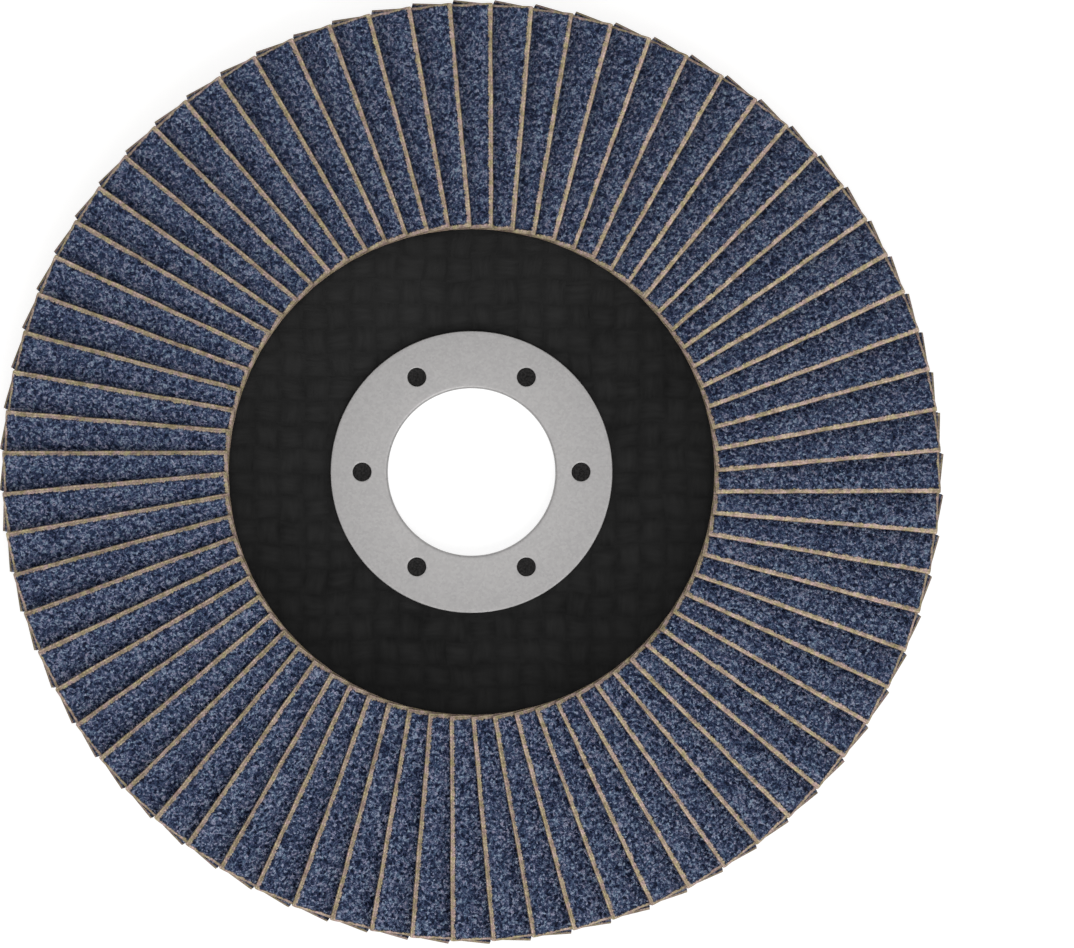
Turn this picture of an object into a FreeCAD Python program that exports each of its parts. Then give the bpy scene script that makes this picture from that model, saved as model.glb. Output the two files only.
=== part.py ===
import FreeCAD, Part
import math
import os

# Flap disc for a small angle grinder, lying on its back with the abrasive face up.
#
# A stamped steel ring is clenched into the hub of a pressed glass-fibre plate. The plate has a
# depressed centre: a flat hub, a wall that rises to a crest, and a conical annulus that falls away
# gently towards the rim. On the annulus lies a bed of adhesive, and in the bed stand the trailing
# edges of a fan of coated-cloth flaps, each one leaning over the next.
#
# Millimetres and degrees. The origin is on the bore's axis in the plane of the hub's back, and +Z
# points to the work.

# Whole disc
disc_diameter = 125.0  # over the outer trailing corners of the flaps
bore_diameter = 22.23

# Flaps
flap_count = 72
flap_length = 29.75
flap_width = 16.8
flap_thickness = 0.85
flap_tilt = 20.0  # how far a flap leans, about its length
fan_turn = 0.18  # of the whole fan against the ring's holes, anticlockwise
raised_edge_offset = 2.72  # from the radius that a flap's raised edge runs beside

# Backing plate
plate_thickness = 2.6
hub_margin = 0.8  # flat front of the hub left outside the steel ring
wall_angle = 15.0  # by which the wall rises outwards
face_angle = 5.0  # by which the annulus and the flaps fall away towards the rim
hub_bend = 3.0  # inner radius of the bend from hub to wall
crest_bend = 1.5  # inner radius of the bend from wall to annulus
crest_cover = 0.5  # how far the flaps' inner ends reach in past the crest
flap_overhang = 5.5  # how far the flaps reach out past the plate's rim

# Steel ring
ring_diameter = 37.35
ring_thickness = 0.6
mouth_chamfer = 0.3  # at both mouths of the bore
lip_width = 1.6  # how far the clenched lip spreads past the collar
key_hole_count = 6
key_hole_diameter = 2.45
key_hole_circle = 29.0
key_recess = 0.15  # how far the resin in a hole stays below the ring's face

# Adhesive bed
bed_depth = 3.0  # as laid down, before the flaps press it out from over themselves
bed_setback = 0.6  # from the crest's bend, and from the plate's rim
glue_line = 0.2  # adhesive left under a flap's buried edge

CENTRE = FreeCAD.Vector(0, 0, 0)
ACROSS = FreeCAD.Vector(1, 0, 0)
OUTWARDS = FreeCAD.Vector(0, 1, 0)
TOWARDS_WORK = FreeCAD.Vector(0, 0, 1)

tilt = math.radians(flap_tilt)
slope = math.radians(face_angle)
wall = math.radians(wall_angle)

# The first flap's outer trailing corner lies on the disc's outline.
flap_corner_x = raised_edge_offset - flap_width * math.cos(tilt)
flap_corner_y = math.sqrt((disc_diameter / 2) ** 2 - flap_corner_x**2)
flap_inner_end = flap_corner_y - flap_length * math.cos(slope)

# Corners of the plate's front as (radius, height), before they are bent round.
hub_front = plate_thickness
hub_corner = (ring_diameter / 2 + hub_margin + hub_bend * math.tan(wall / 2), hub_front)
crest_radius = flap_inner_end + crest_cover
crest = (crest_radius, hub_front + (crest_radius - hub_corner[0]) * math.tan(wall))
crest_reach = (crest_bend + plate_thickness) * math.tan((wall + slope) / 2)
cone_start = crest_radius + crest_reach * math.cos(slope)
rim_radius = disc_diameter / 2 - flap_overhang

# The steel ring wraps the hub from its front, through its hole, to a recess in its back.
bore_radius = bore_diameter / 2
collar_radius = bore_radius + ring_thickness
lip_radius = collar_radius + lip_width
ring_face = hub_front + ring_thickness


def annulus_height(radius):
    """Height of the annulus's front, carried on past the plate's rim as the same cone."""
    return crest[1] - (radius - crest[0]) * math.tan(slope)


def behind(corner, slope_before, slope_after):
    """The corner on the plate's back that lies behind a corner (radius, height) of its front."""
    middle = (slope_before + slope_after) / 2
    reach = plate_thickness / math.cos((slope_after - slope_before) / 2)
    return corner[0] + reach * math.sin(middle), corner[1] - reach * math.cos(middle)


def section(corners):
    """A face in the XZ plane from corners (radius, height, bend), each bend a tangent arc."""
    points = [FreeCAD.Vector(radius, 0, height) for radius, height, bend in corners]
    count = len(points)
    starts = []
    ends = []
    arcs = []
    for index, corner in enumerate(points):
        bend = corners[index][2]
        back = (points[index - 1] - corner).normalize()
        ahead = (points[(index + 1) % count] - corner).normalize()
        half_angle = back.getAngle(ahead) / 2
        reach = bend / math.tan(half_angle)
        starts.append(corner + back * reach)
        ends.append(corner + ahead * reach)
        if bend > 0:
            inwards = (back + ahead).normalize()
            middle = corner + inwards * (bend / math.sin(half_angle) - bend)
            arcs.append(Part.Arc(starts[index], middle, ends[index]).toShape())
        else:
            arcs.append(None)
    edges = []
    for index in range(count):
        if arcs[index]:
            edges.append(arcs[index])
        edges.append(Part.makeLine(ends[index], starts[(index + 1) % count]))
    return Part.Face(Part.Wire(edges))


def turned(corners):
    """A solid of revolution about the bore's axis."""
    return section(corners).revolve(CENTRE, TOWARDS_WORK, 360)


def key_cylinders(low, high):
    """One cylinder in each of the ring's holes, between two heights."""
    foot = FreeCAD.Vector(key_hole_circle / 2, 0, low)
    pattern = Part.makeCylinder(key_hole_diameter / 2, high - low, foot, TOWARDS_WORK)
    keys = []
    for index in range(key_hole_count):
        key = pattern.copy()
        key.rotate(CENTRE, TOWARDS_WORK, 360.0 * index / key_hole_count)
        keys.append(key)
    return keys


def backing_plate():
    """Pressed laminate of even thickness, with resin keys standing up into the ring's holes."""
    rim = (rim_radius, annulus_height(rim_radius))
    hub_behind = behind(hub_corner, 0, wall)
    crest_behind = behind(crest, wall, -slope)
    rim_behind = behind(rim, -slope, -slope)
    plate = turned(
        [
            (lip_radius, 0, 0),
            (hub_behind[0], hub_behind[1], hub_bend + plate_thickness),
            (crest_behind[0], crest_behind[1], crest_bend),
            (rim_behind[0], rim_behind[1], 0),
            (rim[0], rim[1], 0),
            (crest[0], crest[1], crest_bend + plate_thickness),
            (hub_corner[0], hub_corner[1], hub_bend),
            (collar_radius, hub_front, 0),
            (collar_radius, ring_thickness, 0),
            (lip_radius, ring_thickness, 0),
        ]
    )
    return plate.fuse(key_cylinders(hub_front, ring_face - key_recess)).removeSplitter()


def steel_ring():
    """Stamped washer drawn down through the hub as a collar and clenched over at the back."""
    ring = turned(
        [
            (bore_radius, mouth_chamfer, 0),
            (bore_radius + mouth_chamfer, 0, 0),
            (lip_radius, 0, 0),
            (lip_radius, ring_thickness, 0),
            (collar_radius, ring_thickness, 0),
            (collar_radius, hub_front, 0),
            (ring_diameter / 2, hub_front, 0),
            (ring_diameter / 2, ring_face, 0),
            (bore_radius + mouth_chamfer, ring_face, 0),
            (bore_radius, ring_face - mouth_chamfer, 0),
        ]
    )
    return ring.cut(key_cylinders(hub_front, ring_face))


def first_flap(height=flap_thickness):
    """The flap whose raised edge runs beside the +Y radius: it leans up towards +X.

    It is laid flat with its outer trailing corner at the origin, leant over about that corner,
    and set down so that the corner lies on the disc's outline and its buried edge in the glue.
    A greater height carries the slab on upwards from the same underside.
    """
    low_corner = FreeCAD.Vector(0, -flap_length, -flap_thickness)
    flap = Part.makeBox(flap_width, flap_length, height, low_corner)
    flap.rotate(CENTRE, OUTWARDS, -flap_tilt)
    flap.rotate(CENTRE, ACROSS, -face_angle)
    under_x = flap_corner_x + flap_thickness * math.sin(tilt)
    under_y = flap_corner_y - flap_thickness * math.cos(tilt) * math.sin(slope)
    buried_edge = annulus_height(math.hypot(under_x, under_y)) + glue_line
    corner_z = buried_edge + flap_thickness * math.cos(tilt) * math.cos(slope)
    flap.translate(FreeCAD.Vector(flap_corner_x, flap_corner_y, corner_z))
    return flap


def fanned_out(pattern):
    """Copies of the first flap, clockwise seen from the work: each lies over the one after it."""
    fan = []
    for index in range(flap_count):
        flap = pattern.copy()
        flap.rotate(CENTRE, TOWARDS_WORK, fan_turn - 360.0 * index / flap_count)
        fan.append(flap)
    return fan


def adhesive_bed():
    """A ring of adhesive on the annulus, pressed by the flaps into a wedge under each one.

    Nothing of it is left over a flap: it meets each underside, and the buried end of the next.
    """
    inner = cone_start + bed_setback
    outer = rim_radius - bed_setback
    bed = turned(
        [
            (inner, annulus_height(inner), 0),
            (outer, annulus_height(outer), 0),
            (outer, annulus_height(outer) + bed_depth, 0),
            (inner, annulus_height(inner) + bed_depth, 0),
        ]
    )
    return bed.cut(fanned_out(first_flap(flap_thickness + bed_depth)))


def save(node, shape):
    shape.exportStep(os.path.join("parts", node + ".step"))


os.makedirs("parts", exist_ok=True)
flaps = fanned_out(first_flap())
save("backing_plate", backing_plate())
save("steel_ring", steel_ring())
save("adhesive_bed", adhesive_bed())

# Two opposite flaps share a node.
pair_count = (flap_count + 1) // 2
for index in range(pair_count):
    save("flap_pair_%02d" % (index + 1), Part.makeCompound(flaps[index::pair_count]))
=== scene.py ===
import math

import bmesh
import bpy
import numpy as np
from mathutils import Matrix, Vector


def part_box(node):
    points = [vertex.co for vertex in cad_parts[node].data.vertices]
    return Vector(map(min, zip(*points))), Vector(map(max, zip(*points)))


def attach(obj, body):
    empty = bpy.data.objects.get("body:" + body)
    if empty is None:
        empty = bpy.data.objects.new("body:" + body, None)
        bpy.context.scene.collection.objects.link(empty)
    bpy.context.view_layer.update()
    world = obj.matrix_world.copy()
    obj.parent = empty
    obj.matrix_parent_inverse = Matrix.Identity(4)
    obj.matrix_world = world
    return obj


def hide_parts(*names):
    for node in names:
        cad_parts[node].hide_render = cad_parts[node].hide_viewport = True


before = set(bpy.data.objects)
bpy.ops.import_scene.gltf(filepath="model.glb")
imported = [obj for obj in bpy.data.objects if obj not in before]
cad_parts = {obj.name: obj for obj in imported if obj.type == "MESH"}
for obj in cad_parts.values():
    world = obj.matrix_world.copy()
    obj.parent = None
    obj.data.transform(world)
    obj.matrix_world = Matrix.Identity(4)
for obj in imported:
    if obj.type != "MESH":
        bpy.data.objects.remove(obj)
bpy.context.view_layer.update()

# Sizes are in millimetres and degrees, as in the CAD, and become metres where a mesh is made.
MM = 0.001
sharp_angle = 35.0  # faces that meet more sharply are drawn with a hard edge
weld_distance = 0.0005

# Flaps
flap_count = 72
flap_length = 29.75
flap_width = 16.8
flap_thickness = 0.85
flap_tilt = 20.0
fan_turn = 0.18
raised_edge_offset = 2.72
disc_radius = 62.5
face_angle = 5.0

# Coat of abrasive on the cloth
coat_thickness = 0.2
grain_relief = 0.11
grain_skew = 1.5  # power that makes most grains stand high
coat_end_slope = 0.12  # width of the slope in which the coat ends
raised_border = 0.4  # bare cloth along the raised edge
outer_border = 0.26
inner_border = 0.42
border_wander = 0.035  # spread of where the coat ends
edge_wander = 0.035  # mean distance by which the raised edge is set back
edge_wander_reach = 9  # rows over which the raised edge wanders
edge_wander_limit = 1.5  # times its spread
fray = 0.055  # most that a point of a cut is set in
worn_edge = 0.3  # by which the raised edge is rubbed down
wear_curve = 1.5  # power that rounds the rubbed edge
cloth_pitch = 0.52  # from yarn to yarn
thread_shift = (40, 70)  # yarns by which each flap's cloth is shifted against the last one's
weave_relief = 0.09
brushed_slope = 0.6  # of the bare cloth's face, down from the coat's end
coat_end_ragged = 0.18  # width over which a fine mottle shifts the coat's end
coat_end_dark = 0.38  # share of dark resin along the coat's end
grain_size = 0.33
fine_grain_share = 0.45  # of the fine grains' size in that of the coarse ones
coarse_weight = 0.62  # of the coarse grains in the tone; the fine ones have the rest
fine_relief = 0.6  # of the fine grains against the coarse ones
grain_contrast = 0.98
flap_seed = 500

# Grid over a flap's top: rows along it from the outer end, columns across it to the raised edge.
# Rows and columns crowd at the ends and at the raised edge, and are even between.
strip_start = 10.6  # where the open strip starts at the outer end
strip_narrowing = 2.8  # how much further across it starts at the inner end
hidden_columns = 7
shown_columns = 22
even_from = 0.9  # first even row, from the outer end
even_until = 0.8  # end of the even rows and columns, from the inner end and the raised edge
row_step = 0.3
end_rows = np.array([0, 0.13, 0.26, 0.4, 0.6])
edge_columns = np.array([0.62, 0.46, 0.34, 0.22, 0.1, 0.0])  # from the raised edge
jitter_across = 0.07
jitter_along = 0.1
steady_rows = 3  # rows at each end that keep their place
wall_layers = 4

# Backing plate
plate_thickness = 2.6
rim_radius = 57.0
hub_bend = 3.0
crest_bend = 1.5
hub_margin = 0.8
crest_cover = 0.5
wall_angle = 15.0
roving_pitch = 3.17  # from roving to roving of the glass cloth
roving_relief = 0.025
roving_drift = 0.22  # how far a roving strays from its straight line
rim_rounding = 0.35
recess_rounding = 0.1
ring_margin = 0.3  # without relief, beside the steel ring
rim_margin = 0.4  # without relief, at the rim
relief_cover = 2.0  # how far the relief runs on under the flaps
lip_fade = 1.5  # width in which the relief fades beside the lip; elsewhere it is 1
plate_steps = 480  # round the axis
shown_spacing = 0.45  # of the profile's points where the front shows
covered_spacing = 8.0
back_spacing = 0.62

# Steel ring
bore_radius = 11.115
ring_radius = 18.675
ring_thickness = 0.6
ring_face = 3.2
collar_radius = 11.715
lip_radius = 13.315
mouth_rounding = 0.35
edge_rounding = 0.12
hole_rounding = 0.1
lip_rounding = 0.2
collar_spacing = 0.9
key_hole_count = 6
key_hole_radius = 1.225
key_hole_centre = 14.5
sector_steps = 32  # round the axis, in the sector of one hole
border_steps = 14  # along the side of a sector
face_rows = 12  # from a hole to its sector's border
face_crowding = 1.3  # power that crowds them at the hole

# Keys of resin in the ring's holes
key_face = 3.05
key_foot = 2.5
key_rounding = 0.12
key_hollow = [(0.02, 0.06), (0.5, 0.05), (0.9, 0.02)]  # (radius, depth) in a key's face
key_pitting = 0.05
key_steps = 32
key_seed = 77

# Photograph, in pixels, and the camera that frames the disc in the same way
image_size = (1074, 948)
disc_centre_px = (471.56, 472.0)
focal_px = 5535.0
camera_height = 0.736  # metres
sensor_width = 36.0

# Floor
floor_half = 6.0  # metres
floor_gap = 0.00002  # metres, under the disc


# Meshes


def new_piece(name, points, faces, material, replaced, attributes=()):
    """A piece from points in millimetres and lists of faces, riding on the body.

    An attribute is a name with a number or a vector for each point.
    """
    mesh = bpy.data.meshes.new(name)
    mesh.from_pydata((np.asarray(points) * MM).tolist(), [], faces)
    for key, values in attributes:
        kind = "FLOAT" if values.ndim == 1 else "FLOAT_VECTOR"
        layer = mesh.attributes.new(key, kind, "POINT")
        layer.data.foreach_set("value" if values.ndim == 1 else "vector", values.ravel())
    mesh.materials.append(material)
    mesh.shade_smooth()
    mesh.set_sharp_from_angle(angle=math.radians(sharp_angle))
    piece = bpy.data.objects.new(name, mesh)
    bpy.context.scene.collection.objects.link(piece)
    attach(piece, "root")
    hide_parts(replaced)
    return piece


def merged(piece):
    """Welds the rows of points that separate patches share, and turns the faces outwards."""
    shell = bmesh.new()
    shell.from_mesh(piece.data)
    bmesh.ops.remove_doubles(shell, verts=shell.verts, dist=weld_distance * MM)
    bmesh.ops.recalc_face_normals(shell, faces=shell.faces)
    shell.to_mesh(piece.data)
    shell.free()
    piece.data.set_sharp_from_angle(angle=math.radians(sharp_angle))


def grid_faces(rows, columns, closed=False):
    """Quads of a grid whose point (row, column) has the index row * columns + column."""
    index = np.arange(rows * columns).reshape(rows, columns)
    if closed:
        index = np.hstack([index, index[:, :1]])
    corners = [index[:-1, :-1], index[1:, :-1], index[1:, 1:], index[:-1, 1:]]
    return np.stack(corners, axis=-1).reshape(-1, 4)


def fade(distance, width=1.0):
    """0 before a border, 1 from a width past it on, and the share of that width between."""
    return np.clip(distance / width, 0, 1)


def spun(points, angle):
    """Points turned about the axis."""
    x = points[..., 0] * math.cos(angle) - points[..., 1] * math.sin(angle)
    y = points[..., 0] * math.sin(angle) + points[..., 1] * math.cos(angle)
    return np.stack([x, y, points[..., 2]], axis=-1)


def drift(rng, count, reach):
    """Values that wander about 0 with a spread of 1: white noise under a moving bell.

    The bell is a cosine hump that reaches that many values to each side.
    """
    bell = np.hanning(2 * reach + 3)[1:-1]
    bell /= np.sqrt((bell**2).sum())
    return np.convolve(rng.standard_normal(count + 2 * reach), bell, mode="valid")


# The fan of flaps


def flap_directions():
    """Unit vectors across the flap to its raised edge, outwards along it, and up from it.

    The flap leans by its tilt about its length, and then falls away with the cone of the plate.
    """
    tilt = math.radians(flap_tilt)
    slope = math.radians(face_angle)
    across = (math.cos(tilt), math.sin(tilt) * math.sin(slope), math.sin(tilt) * math.cos(slope))
    outwards = (0, math.cos(slope), -math.sin(slope))
    return np.array(across), np.array(outwards), np.cross(across, outwards)


def flap_corner():
    """The outer trailing corner of the first flap's top.

    It lies on the disc's outline, and as far under the CAD solid's highest point as the lean across
    the flap and the fall along it make up.
    """
    across, outwards = flap_directions()[:2]
    x = raised_edge_offset - flap_width * across[0]
    y = math.sqrt(disc_radius**2 - x**2)
    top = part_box("flap_pair_01")[1][2] / MM
    return np.array([x, y, top - flap_width * across[2] + flap_length * outwards[2]])


def flap_stations():
    """Columns across and rows along a flap as two grids, and each point's share of the open strip.

    The flap before leaves a strip open. The share is 0 on the line where the strip starts, which is
    further from the raised edge at the outer end than at the inner end, and 1 at the raised edge.
    Under the flap before, the columns are wide.
    """
    middle = np.arange(even_from, flap_length - even_until, row_step)
    along = np.concatenate([end_rows, middle, flap_length - end_rows[::-1]])
    start = (strip_start + strip_narrowing * along / flap_length)[:, None]
    hidden = start * np.linspace(0, 1, hidden_columns + 1)[None, :-1]
    shown = start + (flap_width - even_until - start) * np.linspace(0, 1, shown_columns)[None, :]
    border = np.repeat((flap_width - edge_columns)[None, :], len(along), axis=0)
    across = np.hstack([hidden, shown, border])
    share = np.clip((across - start) / (flap_width - start), 0, 1)
    return across, np.repeat(along[:, None], across.shape[1], axis=1), share


def flap_top(rng):
    """The top of a flap as grids: across, along, depth, share of the open strip, place in the coat.

    Depth is measured down from the CAD solid's top. Inside the coat it is a random relief of
    grains, and outside it the cloth's face, which falls away along the raised edge by a power of
    how near the edge is. The coat ends at a distance from each free edge that wanders, and the
    raised edge itself sways a little.
    """
    across, along, share = flap_stations()
    rows, columns = across.shape
    limit = edge_wander_limit
    sway = 1 + np.clip(drift(rng, rows, edge_wander_reach), -limit, limit)[:, None] / limit
    across = across - edge_wander * np.clip(2 * share, 0, 1) * sway
    inside = np.zeros((rows, columns))
    inside[steady_rows:-steady_rows, hidden_columns + 1 : 1 - len(edge_columns)] = 1
    across = across + inside * rng.uniform(-jitter_across, jitter_across, (rows, columns))
    along = along + inside * rng.uniform(-jitter_along, jitter_along, (rows, columns))
    raised = raised_border + border_wander * drift(rng, rows, 1)[:, None]
    outer = outer_border + border_wander * drift(rng, columns, 1)[None, :]
    inner = inner_border + border_wander * drift(rng, columns, 1)[None, :]
    from_ends = np.minimum(along - outer, flap_length - along - inner)
    coat = np.minimum(flap_width - across - raised, from_ends)
    rise = np.clip(coat / coat_end_slope + 0.5, 0, 1)
    grains = grain_relief * rng.uniform(0, 1, (rows, columns)) ** grain_skew
    worn = worn_edge * np.clip(1 - (flap_width - across) / raised_border, 0, 1) ** wear_curve
    depth = (coat_thickness + worn) * (1 - rise) + grains * rise
    return across, along, depth, share, coat


def flap_surface(rng):
    """Points (across, along, depth) of one flap, its faces, and two values for each point.

    The values are how far inside the coat the point lies, which is -1 below the top, and its share
    across the open strip, which is 1 there. Walls: rings of the top's outline carried down to the
    underside in even steps, each point set in by a random fray. Underside: one flat face.
    """
    across, along, depth, share, coat = flap_top(rng)
    rows, columns = across.shape
    index = np.arange(rows * columns).reshape(rows, columns)
    outline = np.concatenate([index[0, :-1], index[:-1, -1], index[-1, :0:-1], index[:0:-1, 0]])
    around = len(outline)
    top = np.stack([across, along, depth], axis=-1).reshape(-1, 3)
    edge = top[outline]
    on_row, on_column = np.divmod(outline, columns)
    inwards = (on_column == 0).astype(float) - (on_column == columns - 1)
    lengthwise = (on_row == 0).astype(float) - (on_row == rows - 1)
    points = [top]
    rings = [outline]
    for layer in range(1, wall_layers + 1):
        set_in = fray * rng.uniform(0, 1, around)
        ring_depth = edge[:, 2] + (flap_thickness - edge[:, 2]) * layer / wall_layers
        ring = [edge[:, 0] + inwards * set_in, edge[:, 1] + lengthwise * set_in, ring_depth]
        points.append(np.stack(ring, axis=-1))
        rings.append(rows * columns + (layer - 1) * around + np.arange(around))
    rings = np.vstack(rings)
    rings = np.hstack([rings, rings[:, :1]])
    corners = [rings[1:, :-1], rings[1:, 1:], rings[:-1, 1:], rings[:-1, :-1]]
    walls = np.stack(corners, axis=-1).reshape(-1, 4)
    faces = grid_faces(rows, columns).tolist() + walls.tolist() + [rings[-1, :-1].tolist()]
    coated = np.concatenate([coat.ravel()] + [np.full(around, -1.0)] * wall_layers)
    opened = np.concatenate([share.ravel()] + [np.ones(around)] * wall_layers)
    return np.concatenate(points), faces, coated, opened


def flap_piece(number, material):
    """A flap and the one opposite it, each with grains and frayed edges of its own."""
    across, outwards, up = flap_directions()
    corner = flap_corner()
    points = []
    faces = []
    coats = []
    strips = []
    threads = []
    start = 0
    for index in (number - 1, number - 1 + flap_count // 2):
        rng = np.random.default_rng(flap_seed + index)
        flat, flap_faces, coat, share = flap_surface(rng)
        shape = corner + flat[:, :1] * across - flat[:, 1:2] * outwards - flat[:, 2:] * up
        points.append(spun(shape, math.radians(fan_turn - 360 * index / flap_count)))
        faces += [[vertex + start for vertex in face] for face in flap_faces]
        coats.append(coat)
        strips.append(share)
        shift = [cloth_pitch * yarns * index for yarns in thread_shift]
        threads.append(flat + np.array([*shift, 0]))
        start += len(flat)
    attributes = [
        ("coat", np.concatenate(coats)),
        ("strip", np.concatenate(strips)),
        ("thread", np.concatenate(threads)),
    ]
    name = "flaps_%02d" % number
    points = np.concatenate(points)
    replaced = "flap_pair_%02d" % number
    new_piece(name, points, faces, material, replaced, attributes)


# Turned shapes


def bent(corners, steps):
    """A profile (radius, height) from corners (radius, height, bend): each bend is a tangent arc.

    An arc's centre lies on the line that halves the corner, at its radius divided by the sine of
    half the angle between the two sides.
    """
    points = []
    count = len(corners)
    for index, (radius, height, bend) in enumerate(corners):
        corner = np.array([radius, height])
        if bend == 0:
            points.append(corner[None, :])
            continue
        back = np.array(corners[index - 1][:2]) - corner
        ahead = np.array(corners[(index + 1) % count][:2]) - corner
        back /= np.linalg.norm(back)
        ahead /= np.linalg.norm(ahead)
        half = math.acos(np.clip(back @ ahead, -1, 1)) / 2
        middle = (back + ahead) / np.linalg.norm(back + ahead)
        centre = corner + middle * bend / math.sin(half)
        sweep = np.linspace(-(math.pi / 2 - half), math.pi / 2 - half, steps + 1)[:, None]
        side = back - (back @ middle) * middle
        side /= np.linalg.norm(side)
        points.append(centre - bend * np.cos(sweep) * middle - bend * np.sin(sweep) * side)
    return np.concatenate(points)


def divided(profile, spacing, closed=True):
    """The profile with its long runs divided evenly into steps of about spacing."""
    ends = np.roll(profile, -1, axis=0) if closed else profile[1:]
    runs = []
    for start, end in zip(profile, ends):
        count = max(1, round(float(np.linalg.norm(end - start)) / spacing(start, end)))
        runs.append(start + (end - start) * (np.arange(count) / count)[:, None])
    if not closed:
        runs.append(profile[-1:])
    return np.concatenate(runs)


def turned(profile, steps):
    """Points of a profile (radius, height) carried round the axis in equal steps, row by row."""
    angle = 2 * math.pi * np.arange(steps) / steps
    x = profile[:, :1] * np.cos(angle)
    y = profile[:, :1] * np.sin(angle)
    z = np.repeat(profile[:, 1:], steps, axis=1)
    return np.stack([x, y, z], axis=-1)


# The backing plate

slope = math.radians(face_angle)
wall = math.radians(wall_angle)
flap_inner_end = flap_corner()[1] - flap_length * math.cos(slope)
hub_front = plate_thickness
hub_corner = (ring_radius + hub_margin + hub_bend * math.tan(wall / 2), hub_front)
crest_radius = flap_inner_end + crest_cover
crest = (crest_radius, hub_front + (crest_radius - hub_corner[0]) * math.tan(wall))


def roving_height(x, y):
    """Height from 0 to 1 of plainly woven rovings along x and y: a rounded pillow at each crossing.

    For each axis it is the squared sine times two less that square, and the two are multiplied.
    """
    u = np.sin(math.pi * x / roving_pitch) ** 2
    v = np.sin(math.pi * y / roving_pitch) ** 2
    return u * (2 - u) * v * (2 - v)


def roving_place(x, y):
    """Where a point lies in the glass cloth.

    The rovings stray to and fro by a slow sine of the place along them and a quicker, weaker one
    of the place along and across.
    """
    u = x + roving_drift * (np.sin(0.29 * y + 1.1) + 0.6 * np.sin(0.93 * y + 0.41 * x))
    v = y + roving_drift * (np.sin(0.33 * x + 2.3) + 0.6 * np.sin(0.87 * x - 0.37 * y))
    return u, v


def behind(corner, before, after):
    """The corner on the plate's back behind a corner of its front, between two slopes."""
    middle = (before + after) / 2
    reach = plate_thickness / math.cos((after - before) / 2)
    return corner[0] + reach * math.sin(middle), corner[1] - reach * math.cos(middle)


def plate_spacing(start, end):
    """Spacing on a run of the plate's profile. Only the front runs towards the axis."""
    radius = (start[0] + end[0]) / 2
    if end[0] >= start[0]:
        return back_spacing
    return shown_spacing if ring_radius < radius < crest[0] else covered_spacing


def plate_profile():
    """The laminate's section: the back from lip to rim, then the front from rim to collar."""
    rim = (rim_radius, crest[1] - (rim_radius - crest[0]) * math.tan(slope))
    hub_behind = behind(hub_corner, 0, wall)
    crest_behind = behind(crest, wall, -slope)
    rim_behind = behind(rim, -slope, -slope)
    corners = [
        (lip_radius, 0, recess_rounding),
        (*hub_behind, hub_bend + plate_thickness),
        (*crest_behind, crest_bend),
        (*rim_behind, rim_rounding),
        (*rim, rim_rounding),
        (*crest, crest_bend + plate_thickness),
        (*hub_corner, hub_bend),
        (collar_radius, hub_front, 0),
        (collar_radius, ring_thickness, 0),
        (lip_radius, ring_thickness, 0),
    ]
    return divided(bent(corners, steps=8), plate_spacing)


def key_profile():
    """Half of a key's section: a shallow hollow in its face, a rounded rim and a straight wall."""
    corners = [
        (0, key_face, 0),
        (key_hole_radius, key_face, key_rounding),
        (key_hole_radius, key_foot, 0),
    ]
    hollow = [[radius, key_face - depth] for radius, depth in key_hollow]
    return np.vstack([hollow, bent(corners, steps=3)[1:]])


def plate_piece(material):
    """The turned laminate with the glass cloth's relief let into it, and a key in each ring hole.

    The attribute cloth holds the place in the glass cloth, and in its third value 1 on the keys.
    """
    steps = plate_steps
    profile = plate_profile()
    rows = turned(profile, steps)
    x, y, z = rows[..., 0], rows[..., 1], rows[..., 2]
    radius = np.repeat(profile[:, :1], steps, axis=1)
    is_back = np.zeros(radius.shape)
    is_back[: int(np.argmax(profile[:, 0])) + 1] = 1
    # The relief fades out towards what covers the plate and towards its rim.
    from_lip = fade(radius - lip_radius - ring_margin, lip_fade)
    from_ring = fade(radius - ring_radius - ring_margin)
    open_back = from_lip * fade(rim_radius - rim_margin - radius)
    open_front = from_ring * fade(crest_radius + relief_cover - radius)
    u, v = roving_place(x, y)
    sunk = roving_relief * (1 - roving_height(u, v))
    z = z + is_back * open_back * sunk - (1 - is_back) * open_front * sunk
    points = np.stack([x, y, z], axis=-1).reshape(-1, 3)
    cloth = [np.stack([u, v, 0 * z], axis=-1).reshape(-1, 3)]
    faces = grid_faces(len(profile), steps, closed=True)
    first = np.arange(steps)
    last = (len(profile) - 1) * steps + first
    seam = np.stack([last, first, np.roll(first, -1), np.roll(last, -1)], axis=-1)
    faces = np.vstack([faces, seam])

    # A key's hollow and the first points of its rounded rim are pitted.
    key = key_profile()
    pitted = len(key_hollow) + 1
    rng = np.random.default_rng(key_seed)
    all_points = [points]
    all_faces = faces.tolist()
    start = len(points)
    for number in range(key_hole_count):
        angle = 2 * math.pi * number / key_hole_count
        centre = [key_hole_centre * math.cos(angle), key_hole_centre * math.sin(angle), 0]
        plug = turned(key, key_steps)
        plug[:pitted, :, 2] -= rng.uniform(0, key_pitting, (pitted, key_steps))
        plug = plug.reshape(-1, 3) + centre
        all_points.append(plug)
        cloth.append(plug * [1, 1, 0] + [0, 0, 1])
        end = start + len(plug)
        all_faces += (grid_faces(len(key), key_steps, closed=True) + start).tolist()
        all_faces.append(list(range(start, start + key_steps)))
        all_faces.append(list(range(end - 1, end - 1 - key_steps, -1)))
        start = end
    attributes = [("cloth", np.concatenate(cloth))]
    points = np.concatenate(all_points)
    node = "backing_plate"
    merged(new_piece("plate", points, all_faces, material, node, attributes))


# The steel ring


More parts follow.
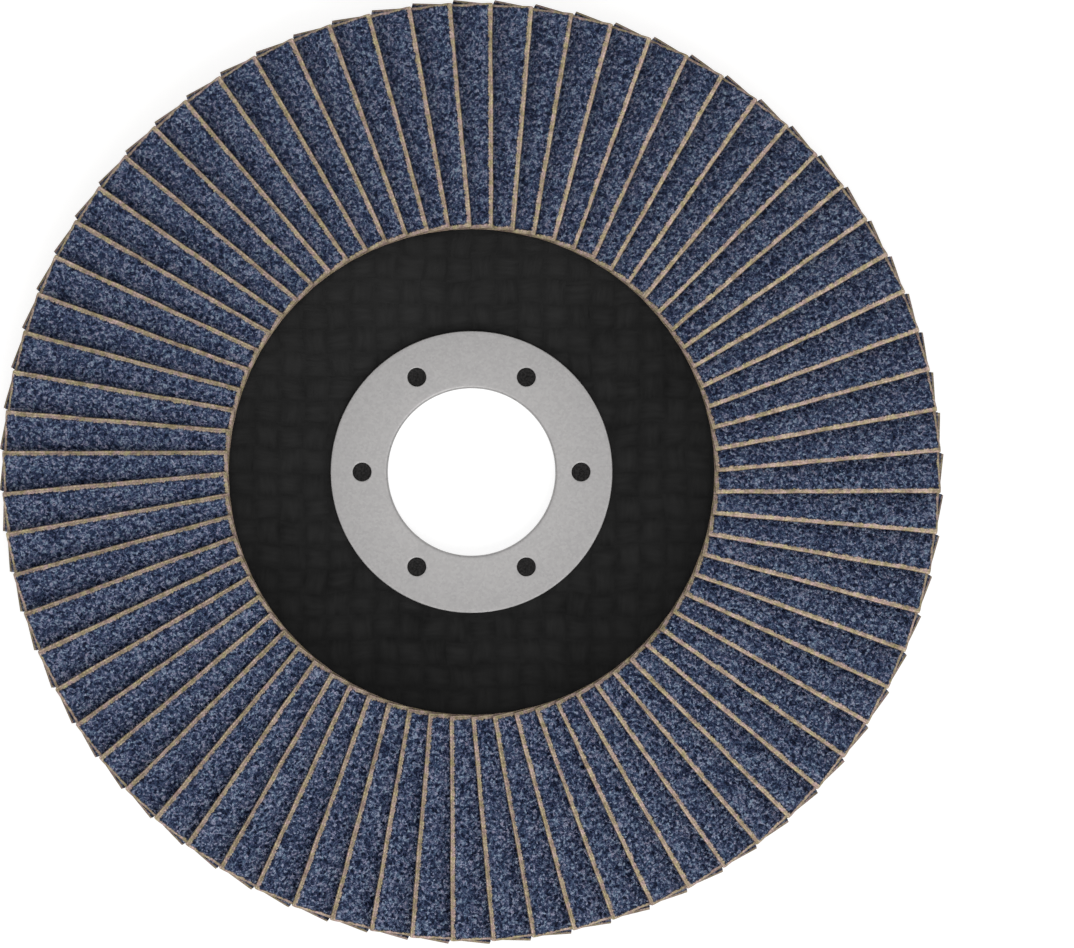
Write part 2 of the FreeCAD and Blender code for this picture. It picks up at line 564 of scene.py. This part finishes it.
def pierced(inner, outer, height, hole_profile):
    """A flat annulus with a hole in each sector, as grids from hole to sector border.

    In each sector the border is walked as points (radius, angle). Each is joined to the point of
    the hole's circle that lies in the same direction, by a line in radius and angle. The hole's
    edge starts with rows that follow hole_profile: (how far outside the hole's wall, height).
    """
    half = math.pi / key_hole_count
    arc = np.linspace(0, 1, sector_steps, endpoint=False)
    side = np.linspace(0, 1, border_steps, endpoint=False)
    border_r = np.concatenate(
        [
            np.full(sector_steps, outer),
            outer + (inner - outer) * side,
            np.full(sector_steps, inner),
            inner + (outer - inner) * side,
        ]
    )
    border_a = np.concatenate(
        [
            -half + 2 * half * arc,
            np.full(border_steps, half),
            half - 2 * half * arc,
            np.full(border_steps, -half),
        ]
    )
    direction = np.arctan2(key_hole_centre * border_a, border_r - key_hole_centre)
    rows = []
    for out, level in hole_profile:
        x = key_hole_centre + (key_hole_radius + out) * np.cos(direction)
        y = (key_hole_radius + out) * np.sin(direction)
        rows.append(np.stack([np.hypot(x, y), np.arctan2(y, x), np.full(len(x), level)], axis=-1))
    edge = rows[-1]
    for share in np.linspace(0, 1, face_rows + 1)[1:] ** face_crowding:
        row = np.stack(
            [
                edge[:, 0] + (border_r - edge[:, 0]) * share,
                edge[:, 1] + (border_a - edge[:, 1]) * share,
                np.full(len(border_r), height),
            ],
            axis=-1,
        )
        rows.append(row)
    sector = np.stack(rows)
    points = []
    faces = []
    size = sector.shape[0] * sector.shape[1]
    for number in range(key_hole_count):
        angle = sector[..., 1] + 2 * half * number
        x = sector[..., 0] * np.cos(angle)
        y = sector[..., 0] * np.sin(angle)
        points.append(np.stack([x, y, sector[..., 2]], axis=-1).reshape(-1, 3))
        faces += (grid_faces(*sector.shape[:2], closed=True) + number * size).tolist()
    return np.concatenate(points), faces


def ring_piece(material):
    """The stamped ring: a pierced washer, a rolled mouth, the collar and the lip behind the hub."""
    steps = sector_steps * key_hole_count
    low = ring_face - ring_thickness
    # The rounded edge of a hole is a quarter circle in three steps of 30 degrees.
    shoulder = (1 - math.cos(math.pi / 6)) * hole_rounding
    hole_top = [
        (0, low),
        (0, ring_face - hole_rounding),
        (shoulder, ring_face - hole_rounding / 2),
        (hole_rounding / 2, ring_face - shoulder),
        (hole_rounding, ring_face),
    ]
    top_inner = bore_radius + mouth_rounding
    top_outer = ring_radius - edge_rounding
    top_points, top_faces = pierced(top_inner, top_outer, ring_face, hole_top)
    under_points, under_faces = pierced(collar_radius, ring_radius, low, [(0, low)])
    rim = [
        (ring_radius, low, 0),
        (ring_radius, ring_face, edge_rounding),
        (top_outer, ring_face, 0),
    ]
    mouth_to_collar = [
        (top_inner, ring_face, 0),
        (bore_radius, ring_face, mouth_rounding),
        (bore_radius, 0, mouth_rounding),
        (lip_radius, 0, lip_rounding),
        (lip_radius, ring_thickness, 0),
        (collar_radius, ring_thickness, 0),
        (collar_radius, low, 0),
    ]
    outside = bent(rim, steps=4)[:-1]
    inside = bent(mouth_to_collar, steps=7)[1:]
    inside = divided(inside, lambda start, end: collar_spacing, closed=False)
    start = -math.pi / key_hole_count
    points = [top_points, under_points]
    faces = top_faces + (np.array(under_faces) + len(top_points)).tolist()
    count = len(top_points) + len(under_points)
    for profile in (outside, inside):
        points.append(spun(turned(profile, steps), start).reshape(-1, 3))
        faces += (grid_faces(len(profile), steps, closed=True) + count).tolist()
        count += len(profile) * steps
    node = "steel_ring"
    merged(new_piece("ring", np.concatenate(points), faces, material, node))


# Materials

UNCHANGED = (1, 1, 1, 1)  # a colour that leaves what it is multiplied with as it is


def fill(tree, node, inputs):
    """Each input of a node either linked to a socket or given a value."""
    for key, value in inputs.items():
        if isinstance(value, bpy.types.NodeSocket):
            tree.links.new(value, node.inputs[key])
        else:
            node.inputs[key].default_value = value


def add(tree, kind, inputs=None, **settings):
    """A shader node with its settings and inputs."""
    made = tree.nodes.new("ShaderNode" + kind)
    for key, value in settings.items():
        setattr(made, key, value)
    fill(tree, made, inputs or {})
    return made


def math_node(tree, operation, a, b=0.0, c=0.0, clamp=False):
    """The result of a Math node on numbers or sockets."""
    return add(tree, "Math", {0: a, 1: b, 2: c}, operation=operation, use_clamp=clamp).outputs[0]


def vector_node(tree, operation, a, b=(0, 0, 0), result=0, scale=None):
    """The result of a Vector Math node on vectors or sockets."""
    inputs = {0: a, 1: b} if scale is None else {0: a, "Scale": scale}
    return add(tree, "VectorMath", inputs, operation=operation).outputs[result]


def blend(tree, share, low, high, kind="MIX"):
    """A mix of two colours: low where the share is 0, high where it is 1."""
    mixed = add(tree, "Mix", {0: share, 6: low, 7: high}, data_type="RGBA", blend_type=kind)
    return mixed.outputs[2]


def choose(tree, share, low, high):
    """A mix of two values: low where the share is 0, high where it is 1."""
    return add(tree, "Mix", {0: share, 2: low, 3: high}, data_type="FLOAT").outputs[0]


def attribute(tree, name, result="Fac"):
    """What a mesh holds under that name for each of its points."""
    return add(tree, "Attribute", attribute_name=name).outputs[result]


def multiplied(tree, colour, factor):
    """A colour multiplied by another colour or by a value."""
    return blend(tree, 1.0, colour, factor, "MULTIPLY")


def from_axis(tree, place):
    """How far a place is from the bore's axis: the length of its first two values."""
    flat = vector_node(tree, "MULTIPLY", place, (1, 1, 0))
    return vector_node(tree, "LENGTH", flat, result="Value")


def remap(tree, value, low, high, start=0.0, end=1.0):
    """A value carried smoothly from low..high to start..end."""
    inputs = {"Value": value, "From Min": low, "From Max": high, "To Min": start, "To Max": end}
    return add(tree, "MapRange", inputs, interpolation_type="SMOOTHSTEP").outputs["Result"]


def ramp(tree, value, stops):
    """A colour ramp through stops (place, colour)."""
    made = add(tree, "ValToRGB", {"Fac": value})
    points = made.color_ramp.elements
    while len(points) < len(stops):
        points.new(0.5)
    for point, (place, colour) in zip(points, stops):
        point.position = place
        point.color = (*colour, 1)
    return made.outputs["Color"]


def new_group(name, inputs, outputs):
    """The tree of a new node group with named sockets, its input node and its output node."""
    tree = bpy.data.node_groups.new(name, "ShaderNodeTree")
    for key, kind, value in inputs:
        socket = tree.interface.new_socket(key, in_out="INPUT", socket_type="NodeSocket" + kind)
        if value is not None:
            socket.default_value = value
    for key, kind in outputs:
        tree.interface.new_socket(key, in_out="OUTPUT", socket_type="NodeSocket" + kind)
    return tree, tree.nodes.new("NodeGroupInput"), tree.nodes.new("NodeGroupOutput")


def use(tree, group, inputs):
    """A node group placed in a material with its own values."""
    made = tree.nodes.new("ShaderNodeGroup")
    made.node_tree = group
    fill(tree, made, inputs)
    return made.outputs


def mottle_group():
    """Soft uneven patches of a given size: fractal noise, its middle half spread from 0 to 1."""
    tree, given, result = new_group(
        "mottle",
        [("Place", "Vector", None), ("Size", "Float", 1.0), ("Detail", "Float", 3.0)],
        [("Patches", "Float")],
    )
    inputs = {
        "Vector": given.outputs["Place"],
        "Scale": math_node(tree, "DIVIDE", 1.0, given.outputs["Size"]),
        "Detail": given.outputs["Detail"],
    }
    noise = add(tree, "TexNoise", inputs)
    tree.links.new(remap(tree, noise.outputs["Fac"], 0.25, 0.75), result.inputs["Patches"])
    return tree


def weave_group():
    """Plain weave: its height, which threads lie on top, and a random value for each thread.

    Each thread is a half wave of a sine. Height: for each axis the squared sine times two less that
    square, and the two multiplied, which leaves a rounded pillow at each crossing. Lengthwise is 1,
    and the threads along the second axis lie on top, where the two sines have the same sign.
    """
    tree, given, result = new_group(
        "weave",
        [("Place", "Vector", None), ("Pitch", "Float", 1.0)],
        [("Height", "Float"), ("Lengthwise", "Float"), ("Thread", "Float")],
    )
    scale = math_node(tree, "DIVIDE", 1.0, given.outputs["Pitch"])
    scaled = vector_node(tree, "SCALE", given.outputs["Place"], scale=scale)
    place = add(tree, "SeparateXYZ", {0: scaled})
    waves = []
    ridges = []
    numbers = []
    for axis in (0, 1):
        wave = math_node(tree, "SINE", math_node(tree, "MULTIPLY", place.outputs[axis], math.pi))
        square = math_node(tree, "MULTIPLY", wave, wave)
        steep = math_node(tree, "SUBTRACT", 2.0, square)
        number = math_node(tree, "FLOOR", place.outputs[axis])
        # The second axis draws its values from another stretch of the noise.
        offset = math_node(tree, "ADD", number, 311.5 * axis)
        random = add(tree, "TexWhiteNoise", {"W": offset}, noise_dimensions="1D")
        waves.append(wave)
        ridges.append(math_node(tree, "MULTIPLY", square, steep))
        numbers.append(random.outputs["Value"])
    same_sign = math_node(tree, "MULTIPLY", waves[0], waves[1])
    on_top = math_node(tree, "GREATER_THAN", same_sign, 0.0)
    height = math_node(tree, "MULTIPLY", ridges[0], ridges[1])
    tree.links.new(height, result.inputs["Height"])
    tree.links.new(choose(tree, on_top, numbers[1], numbers[0]), result.inputs["Thread"])
    tree.links.new(on_top, result.inputs["Lengthwise"])
    return tree


def grain_group():
    """Broken grains: cells of a given size, each with a tone, a tint and a tilted flat face.

    The place is first shifted by a soft noise, so that the cells' borders are crooked. Height: the
    distance from the cell's centre along a random direction, less a share of the whole distance.
    """
    tree, given, result = new_group(
        "grains",
        [("Place", "Vector", None), ("Size", "Float", 0.3), ("Wander", "Float", 0.1)],
        [("Tone", "Float"), ("Tint", "Float"), ("Height", "Float")],
    )
    middle = (0.5, 0.5, 0.5)
    size = given.outputs["Size"]
    scale = math_node(tree, "DIVIDE", 1.0, size)
    inputs = {"Vector": given.outputs["Place"], "Scale": scale, "Detail": 1.0}
    noise = add(tree, "TexNoise", inputs)
    shift = vector_node(tree, "SUBTRACT", noise.outputs["Color"], middle)
    shift = vector_node(tree, "SCALE", shift, scale=given.outputs["Wander"])
    place = vector_node(tree, "ADD", given.outputs["Place"], shift)
    cells = add(tree, "TexVoronoi", {"Vector": place, "Scale": scale})
    colour = add(tree, "SeparateColor", {0: cells.outputs["Color"]})
    tilt = vector_node(tree, "SUBTRACT", cells.outputs["Color"], middle)
    from_centre = vector_node(tree, "SUBTRACT", place, cells.outputs["Position"])
    facet = vector_node(tree, "DOT_PRODUCT", from_centre, tilt, result="Value")
    facet = math_node(tree, "MULTIPLY", facet, 1.4)
    dome = math_node(tree, "MULTIPLY", cells.outputs["Distance"], size)
    dome = math_node(tree, "MULTIPLY", dome, 0.6)
    height = math_node(tree, "SUBTRACT", facet, dome)
    tree.links.new(colour.outputs[0], result.inputs["Tone"])
    tree.links.new(colour.outputs[1], result.inputs["Tint"])
    tree.links.new(height, result.inputs["Height"])
    return tree


def curl_group():
    """Short crooked strokes: bright along the lines where a soft noise crosses its middle value.

    A stroke is 1 on its line and falls evenly to 0 where the noise is Width away from the middle.
    """
    tree, given, result = new_group(
        "curls",
        [("Place", "Vector", None), ("Size", "Float", 0.5), ("Width", "Float", 0.1)],
        [("Strokes", "Float")],
    )
    inputs = {
        "Vector": given.outputs["Place"],
        "Scale": math_node(tree, "DIVIDE", 1.0, given.outputs["Size"]),
        "Detail": 1.5,
        "Roughness": 0.6,
        "Distortion": 0.4,
    }
    noise = add(tree, "TexNoise", inputs)
    off = math_node(tree, "SUBTRACT", noise.outputs["Fac"], 0.5)
    off = math_node(tree, "ABSOLUTE", off)
    share = math_node(tree, "DIVIDE", off, given.outputs["Width"])
    lit = math_node(tree, "SUBTRACT", 1.0, share, clamp=True)
    tree.links.new(lit, result.inputs["Strokes"])
    return tree


mottle = mottle_group()
weave = weave_group()
grains = grain_group()
curls = curl_group()


def mottled(tree, place, size, detail=2.0):
    """Patches of a size in millimetres, from the group mottle."""
    return use(tree, mottle, {"Place": place, "Size": size, "Detail": detail})["Patches"]


def new_material(name, roughness, metallic=0.0, specular=0.5):
    """A material, its tree, its shader, and the place on the object in millimetres."""
    material = bpy.data.materials.new(name)
    material.use_nodes = True
    tree = material.node_tree
    shader = tree.nodes["Principled BSDF"]
    shader.inputs["Roughness"].default_value = roughness
    shader.inputs["Metallic"].default_value = metallic
    shader.inputs["Specular IOR Level"].default_value = specular
    place = vector_node(tree, "SCALE", add(tree, "TexCoord").outputs["Object"], scale=1000.0)
    return material, tree, shader, place


def set_bump(tree, shader, height, strength):
    """Height in millimetres as a bump on the shader's normal."""
    bump = add(tree, "Bump", {"Height": height, "Distance": MM, "Strength": strength})
    tree.links.new(bump.outputs[0], shader.inputs["Normal"])


def coat_paint(tree, place, grit, fine, strip):
    """Colour of the coat: coarse and fine grains with short bright strokes on them.

    Tone: a weighted sum of both sizes of grain, spread about its middle by the contrast, with
    strokes and faint patches added. A ramp turns it into a colour, tinted grain by grain. Painted
    shade darkens the coat towards the flap that covers it, and painted light makes it paler along
    that flap's edge, where that flap's shadow falls.
    """
    tone = math_node(tree, "MULTIPLY", fine["Tone"], 1 - coarse_weight)
    tone = math_node(tree, "MULTIPLY_ADD", grit["Tone"], coarse_weight, tone)
    tone = math_node(tree, "MULTIPLY_ADD", tone, grain_contrast, 0.25 - 0.5 * grain_contrast)
    strokes = use(tree, curls, {"Place": place, "Size": 0.75, "Width": 0.14})["Strokes"]
    tone = math_node(tree, "MULTIPLY_ADD", strokes, 0.5, tone)
    tone = math_node(tree, "MULTIPLY_ADD", mottled(tree, place, 1.1), 0.07, tone)
    colour = ramp(
        tree,
        tone,
        [
            (0.0, (0.0035, 0.006, 0.0205)),
            (0.3, (0.016, 0.027, 0.07)),
            (0.55, (0.049, 0.072, 0.148)),
            (0.8, (0.141, 0.18, 0.288)),
            (1.0, (0.35, 0.396, 0.535)),
        ],
    )
    tint = blend(tree, grit["Tint"], (1.13, 0.975, 1.01, 1), (0.88, 1.03, 0.99, 1))
    # Painted shade: the coat darkens towards the flap that covers it.
    painted_cover_shade = blend(tree, remap(tree, strip, 0.3, 0.68), (0.91, 0.87, 0.865, 1), UNCHANGED)
    # Painted light: the coat is paler along that flap's edge, lifting the shadow that it casts.
    painted_edge_light = blend(tree, remap(tree, strip, 0.11, 0.25), (1.34, 1.25, 1.16, 1), UNCHANGED)
    for factor in (tint, painted_cover_shade, painted_edge_light):
        colour = multiplied(tree, colour, factor)
    return colour


def cloth_paint(tree, place, thread, woven, fine, strip):
    """Colour of the bare cloth: a tone for each thread, paler patches, and the factors of the rest.

    The factors are a green or pink cast in patches, dark grooves between the threads, fibres, the
    paler cut, which darkens again towards its foot, painted shade at the inner end by the plate,
    and the shade under the flap before. The underside is brown.
    """
    depth = add(tree, "SeparateXYZ", {0: thread}).outputs[2]
    worn = mottled(tree, place, 1.0, 3.0)
    colour = blend(tree, woven["Thread"], (0.275, 0.23, 0.168, 1), (0.43, 0.345, 0.262, 1))
    colour = blend(tree, worn, colour, (0.6, 0.51, 0.42, 1))
    patches = mottled(tree, place, 0.8)
    cast = blend(tree, patches, (0.975, 1.015, 0.72, 1), (1.105, 0.935, 1.14, 1))
    grooves = remap(tree, woven["Height"], 0.0, 0.8, 0.8, 1.04)
    fibres = remap(tree, fine["Tone"], 0.0, 1.0, 0.8, 1.2)
    is_cut = remap(tree, depth, coat_thickness + 0.02, coat_thickness + 0.2)
    cut = blend(tree, is_cut, (1.07, 1.07, 1.07, 1), (1.18, 1.165, 1.11, 1))
    foot = remap(tree, depth, coat_thickness + 0.22, flap_thickness - 0.1, 1.0, 0.72)
    radius = from_axis(tree, place)
    # Painted shade: the cloth darkens towards the flap's inner end, by the plate's wall.
    painted_inner_shade = remap(tree, radius, flap_inner_end + 0.8, flap_inner_end + 1.8, 0.82, 1.0)
    shade = remap(tree, strip, 0.0, 0.3, 0.68, 1.0)
    for factor in (cast, grooves, fibres, cut, foot, painted_inner_shade, shade):
        colour = multiplied(tree, colour, factor)
    under = remap(tree, depth, flap_thickness - 0.12, flap_thickness)
    return blend(tree, under, colour, (0.17, 0.115, 0.07, 1))


def abrasive_material():
    """Blue-grey grains in dark resin on tan cloth, which shows past the coat and on every cut.

    The coat covers the cloth where the distance inside its end, shifted by a fine mottle, is above
    0, and is darker in a narrow rim along that end. The bump is the grains' height on the coat, and
    outside it the weave's, on a face that falls away from the coat's end.
    """
    material, tree, shader, place = new_material("abrasive cloth", 0.6, specular=0.12)
    grit = use(tree, grains, {"Place": place, "Size": grain_size, "Wander": 0.22})
    fine_size = grain_size * fine_grain_share
    fine = use(tree, grains, {"Place": place, "Size": fine_size, "Wander": 0.1})
    strip = attribute(tree, "strip")
    thread = attribute(tree, "thread", "Vector")
    woven = use(tree, weave, {"Place": thread, "Pitch": cloth_pitch})
    coat_colour = coat_paint(tree, place, grit, fine, strip)
    cloth_colour = cloth_paint(tree, place, thread, woven, fine, strip)

    coat = attribute(tree, "coat")
    ragged = mottled(tree, place, 0.22)
    ragged = math_node(tree, "MULTIPLY_ADD", ragged, coat_end_ragged, -coat_end_ragged / 2)
    inset = math_node(tree, "ADD", coat, ragged)
    coated = remap(tree, inset, -0.03, 0.05)
    rim = math_node(tree, "SUBTRACT", 1.0, remap(tree, inset, 0.05, 0.3))
    rim = math_node(tree, "MULTIPLY", rim, coat_end_dark)
    coat_colour = blend(tree, rim, coat_colour, (0.017, 0.014, 0.016, 1))
    tree.links.new(blend(tree, coated, cloth_colour, coat_colour), shader.inputs["Base Color"])

    grit_height = math_node(tree, "MULTIPLY", fine["Height"], fine_relief)
    grit_height = math_node(tree, "ADD", grit["Height"], grit_height)
    brushed = math_node(tree, "MAXIMUM", coat, -raised_border)
    cloth_height = math_node(tree, "MULTIPLY", brushed, brushed_slope)
    cloth_height = math_node(tree, "MULTIPLY_ADD", woven["Height"], weave_relief, cloth_height)
    is_coat = remap(tree, coat, -0.04, 0.04)
    set_bump(tree, shader, choose(tree, is_coat, cloth_height, grit_height), 0.9)
    tree.links.new(remap(tree, coated, 0.0, 1.0, 0.85, 0.5), shader.inputs["Roughness"])
    return material


def plate_material():
    """Black resin over woven glass: rovings that show faintly, fine strands along them, and keys.

    Tone: a weighted sum of the rovings' height, strands drawn out along the roving on top, two
    sizes of patches and a value for each roving. The keys are speckled instead. The bump is a
    weighted sum of strands, specks and the rovings' height.
    """
    material, tree, shader, place = new_material("black laminate", 0.5, specular=0.11)
    cloth = attribute(tree, "cloth", "Vector")
    key = add(tree, "SeparateXYZ", {0: cloth}).outputs[2]
    rovings = use(tree, weave, {"Place": cloth, "Pitch": roving_pitch})
    broad = mottled(tree, place, 9.0)
    patches = mottled(tree, place, 2.4, 3.0)
    specks = mottled(tree, place, 0.25)
    streaks = []
    for stretch in ((0.3, 1.7, 0.3), (1.7, 0.3, 0.3)):
        drawn = vector_node(tree, "MULTIPLY", cloth, stretch)
        streaks.append(mottled(tree, drawn, 1.0, 3.0))
    strands = choose(tree, rovings["Lengthwise"], streaks[0], streaks[1])

    tone = math_node(tree, "MULTIPLY", rovings["Height"], 0.24)
    shares = ((strands, 0.22), (patches, 0.3), (broad, 0.16), (rovings["Thread"], 0.08))
    for value, share in shares:
        tone = math_node(tree, "MULTIPLY_ADD", value, share, tone)
    stops = [(0.1, (0.0005, 0.0005, 0.0005)), (0.9, (0.0188, 0.0188, 0.0188))]
    speckle = blend(tree, specks, (0.001, 0.001, 0.001, 1), (0.024, 0.0225, 0.0225, 1))
    colour = blend(tree, key, ramp(tree, tone, stops), speckle)
    tree.links.new(colour, shader.inputs["Base Color"])

    height = math_node(tree, "MULTIPLY", strands, 0.03)
    height = math_node(tree, "MULTIPLY_ADD", specks, 0.015, height)
    height = math_node(tree, "MULTIPLY_ADD", rovings["Height"], 0.015, height)
    set_bump(tree, shader, height, 0.8)
    tree.links.new(remap(tree, patches, 0.0, 1.0, 0.45, 0.62), shader.inputs["Roughness"])
    return material


def steel_material():
    """Dull zinc-grey sheet: a fine crystalline mottle and faint marks from stamping.

    Tone: a weighted sum of the grains' tone and of patches, with painted light that raises it
    towards the bore and lowers it a little towards the outer rim.
    """
    material, tree, shader, place = new_material("zinc-grey steel", 0.5, metallic=1.0)
    fine = use(tree, grains, {"Place": place, "Size": 0.28, "Wander": 0.2})
    patches = mottled(tree, place, 2.5, 5.0)
    tone = math_node(tree, "MULTIPLY", patches, 0.4)
    tone = math_node(tree, "MULTIPLY_ADD", fine["Tone"], 0.45, tone)
    # Painted light: the steel is brighter towards the bore and a little darker towards the rim.
    painted_light_gradient = remap(tree, from_axis(tree, place), bore_radius, ring_radius, 0.22, -0.05)
    tone = math_node(tree, "ADD", tone, painted_light_gradient)
    colour = ramp(tree, tone, [(0.0, (0.325, 0.318, 0.318)), (1.0, (0.423, 0.414, 0.411))])
    tree.links.new(colour, shader.inputs["Base Color"])
    marks = math_node(tree, "MULTIPLY", mottled(tree, place, 0.2, 3.0), 0.006)
    set_bump(tree, shader, marks, 0.6)
    tree.links.new(remap(tree, patches, 0.0, 1.0, 0.48, 0.6), shader.inputs["Roughness"])
    return material


def adhesive_material():
    """Dark cured resin: lumps with a painted highlight where they stand up, and fine specks."""
    material, tree, shader, place = new_material("cured adhesive", 0.45, specular=0.3)
    lumps = mottled(tree, place, 1.4, 4.0)
    specks = mottled(tree, place, 0.25)
    # Painted highlight: the colour is paler where the lumps stand up.
    colour = blend(tree, lumps, (0.012, 0.009, 0.008, 1), (0.034, 0.024, 0.018, 1))
    tree.links.new(colour, shader.inputs["Base Color"])
    height = math_node(tree, "MULTIPLY", lumps, 0.15)
    height = math_node(tree, "MULTIPLY_ADD", specks, 0.03, height)
    set_bump(tree, shader, height, 0.8)
    tree.links.new(remap(tree, specks, 0.0, 1.0, 0.35, 0.6), shader.inputs["Roughness"])
    return material


# The pieces

flap_cloth = abrasive_material()
for number in range(1, flap_count // 2 + 1):
    flap_piece(number, flap_cloth)
plate_piece(plate_material())
ring_piece(steel_material())
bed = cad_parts["adhesive_bed"]
bed.data.materials.clear()
bed.data.materials.append(adhesive_material())


# Floor, light and camera


def seen_rays(tree):
    """1 for rays from the camera, from reflections and through glass, and 0 for the rest."""
    path = add(tree, "LightPath")
    seen = math_node(tree, "MAXIMUM", path.outputs["Is Camera Ray"], path.outputs["Is Glossy Ray"])
    return math_node(tree, "MAXIMUM", seen, path.outputs["Is Transmission Ray"])


def floor_material():
    """Pale floor that shows as white where light falls on it freely, and keeps the object's shadow.

    It is clear from below and to scattered light, as a glass table is, so that the back is lit too.
    """
    material = bpy.data.materials.new("pale floor")
    material.use_nodes = True
    tree = material.node_tree
    tree.nodes.clear()
    diffuse = add(tree, "BsdfDiffuse", {"Color": (0.5, 0.5, 0.5, 1)})
    glow = add(tree, "Emission", {"Color": (1, 1, 1, 1), "Strength": 0.72})
    both = add(tree, "AddShader", {0: diffuse.outputs[0], 1: glow.outputs[0]})
    front = math_node(tree, "SUBTRACT", 1.0, add(tree, "NewGeometry").outputs["Backfacing"])
    clear = add(tree, "BsdfTransparent")
    share = math_node(tree, "MULTIPLY", seen_rays(tree), front)
    shown = add(tree, "MixShader", {0: share, 1: clear.outputs[0], 2: both.outputs[0]})
    add(tree, "OutputMaterial", {"Surface": shown.outputs[0]})
    return material


def floor():
    """A wide floor just under the disc."""
    mesh = bpy.data.meshes.new("floor")
    signs = ((-1, -1), (1, -1), (1, 1), (-1, 1))
    corners = [(x * floor_half, y * floor_half, 0) for x, y in signs]
    mesh.from_pydata(corners, [], [(0, 1, 2, 3)])
    mesh.materials.append(floor_material())
    made = bpy.data.objects.new("floor", mesh)
    made.location = (0, 0, -floor_gap)
    bpy.context.scene.collection.objects.link(made)


def surroundings(ambient):
    """A world that is white to the camera and in reflections, and an even soft light elsewhere."""
    world = bpy.data.worlds.new("studio")
    bpy.context.scene.world = world
    world.use_nodes = True
    tree = world.node_tree
    background = tree.nodes["Background"]
    strength = math_node(tree, "MULTIPLY_ADD", seen_rays(tree), 1.0 - ambient, ambient)
    background.inputs["Color"].default_value = (1, 1, 1, 1)
    tree.links.new(strength, background.inputs["Strength"])


def softbox(name, azimuth, elevation, distance, size, power):
    """A square lamp that faces the object, in metres and watts.

    Azimuth runs clockwise from +Y, seen from above.
    """
    data = bpy.data.lights.new(name, "AREA")
    data.shape = "SQUARE"
    data.size = size
    data.energy = power
    lamp = bpy.data.objects.new(name, data)
    turn = math.radians(azimuth)
    rise = math.radians(elevation)
    lamp.location = (
        distance * math.cos(rise) * math.sin(turn),
        distance * math.cos(rise) * math.cos(turn),
        distance * math.sin(rise),
    )
    lamp.rotation_euler = (math.pi / 2 - rise, 0, math.pi - turn)
    bpy.context.scene.collection.objects.link(lamp)


def camera():
    """The camera looks straight down the axis, and the photograph's framing is a small shift."""
    data = bpy.data.cameras.new("camera")
    data.sensor_width = sensor_width
    data.lens = focal_px * sensor_width / image_size[0]
    data.shift_x = (image_size[0] / 2 - disc_centre_px[0]) / image_size[0]
    data.shift_y = (disc_centre_px[1] - image_size[1] / 2) / image_size[0]
    data.clip_start = 0.01
    data.clip_end = 50
    made = bpy.data.objects.new("camera", data)
    made.location = (0, 0, camera_height)
    bpy.context.scene.collection.objects.link(made)
    bpy.context.scene.camera = made


floor()
surroundings(ambient=0.7)
softbox("key softbox", azimuth=160, elevation=50, distance=0.9, size=0.7, power=3.2)
camera()
bpy.context.scene.view_settings.view_transform = "Standard"
